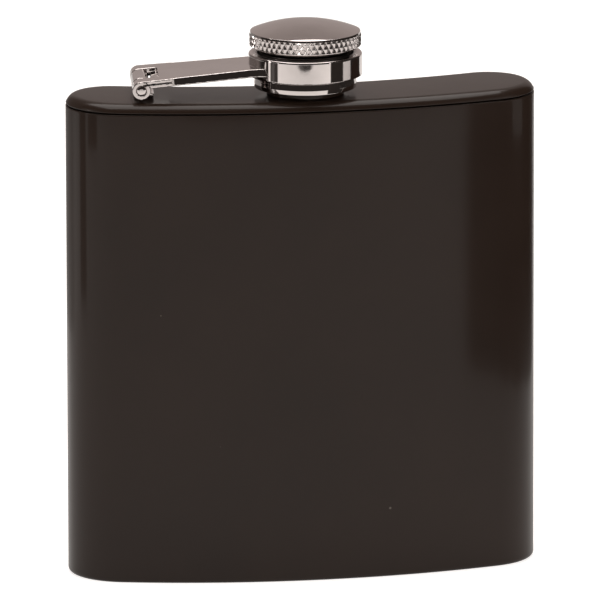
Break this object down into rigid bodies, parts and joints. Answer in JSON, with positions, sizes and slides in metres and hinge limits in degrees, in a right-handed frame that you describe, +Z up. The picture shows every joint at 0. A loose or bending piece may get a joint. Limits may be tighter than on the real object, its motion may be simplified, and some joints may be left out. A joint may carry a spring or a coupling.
{
  "type": "hip flask",
  "caption": "Curved pocket flask with a painted body, and a knurled screw cap held captive in the ring of a hinged chrome arm.",
  "frame": {"origin": "middle of the bounding box's foot, on the surface that the flask stands on", "axes": "+Z up the flask towards its cap, +X along its width away from the hinge, +Y from the bulging front face to the hollow back face"},
  "size_m": [0.0954, 0.0276, 0.1133],
  "materials": {
    "black_paint": "satin black stoving paint over steel sheet",
    "chrome": "bright mirror plating",
    "bare_steel": "plain turned steel",
    "seal_silicone": "milky matt silicone"
  },
  "bodies": {
    "flask": {"body_sleeve": "black_paint", "bottom_plate": "black_paint", "top_plate": "black_paint", "neck": "black_paint", "hinge_bracket": "chrome", "hinge_pin": "bare_steel"},
    "arm": {"arm": "chrome"},
    "cap": {"cap_head": "chrome", "cap_spool": "chrome", "cap_liner": "bare_steel", "cap_gasket": "seal_silicone"}
  },
  "joints": [
    {"name": "arm_swing", "type": "hinge", "parent": "flask", "child": "arm", "pos_m": [-0.0329, 0.0017, 0.10085], "axis": [-0.1228, -0.9924, 0], "range_deg": [0, 175]},
    {"name": "cap_turn", "type": "hinge", "parent": "arm", "child": "cap", "pos_m": [0, -0.00237, 0.10835], "axis": [0, 0, 1], "continuous": true}
  ]
}
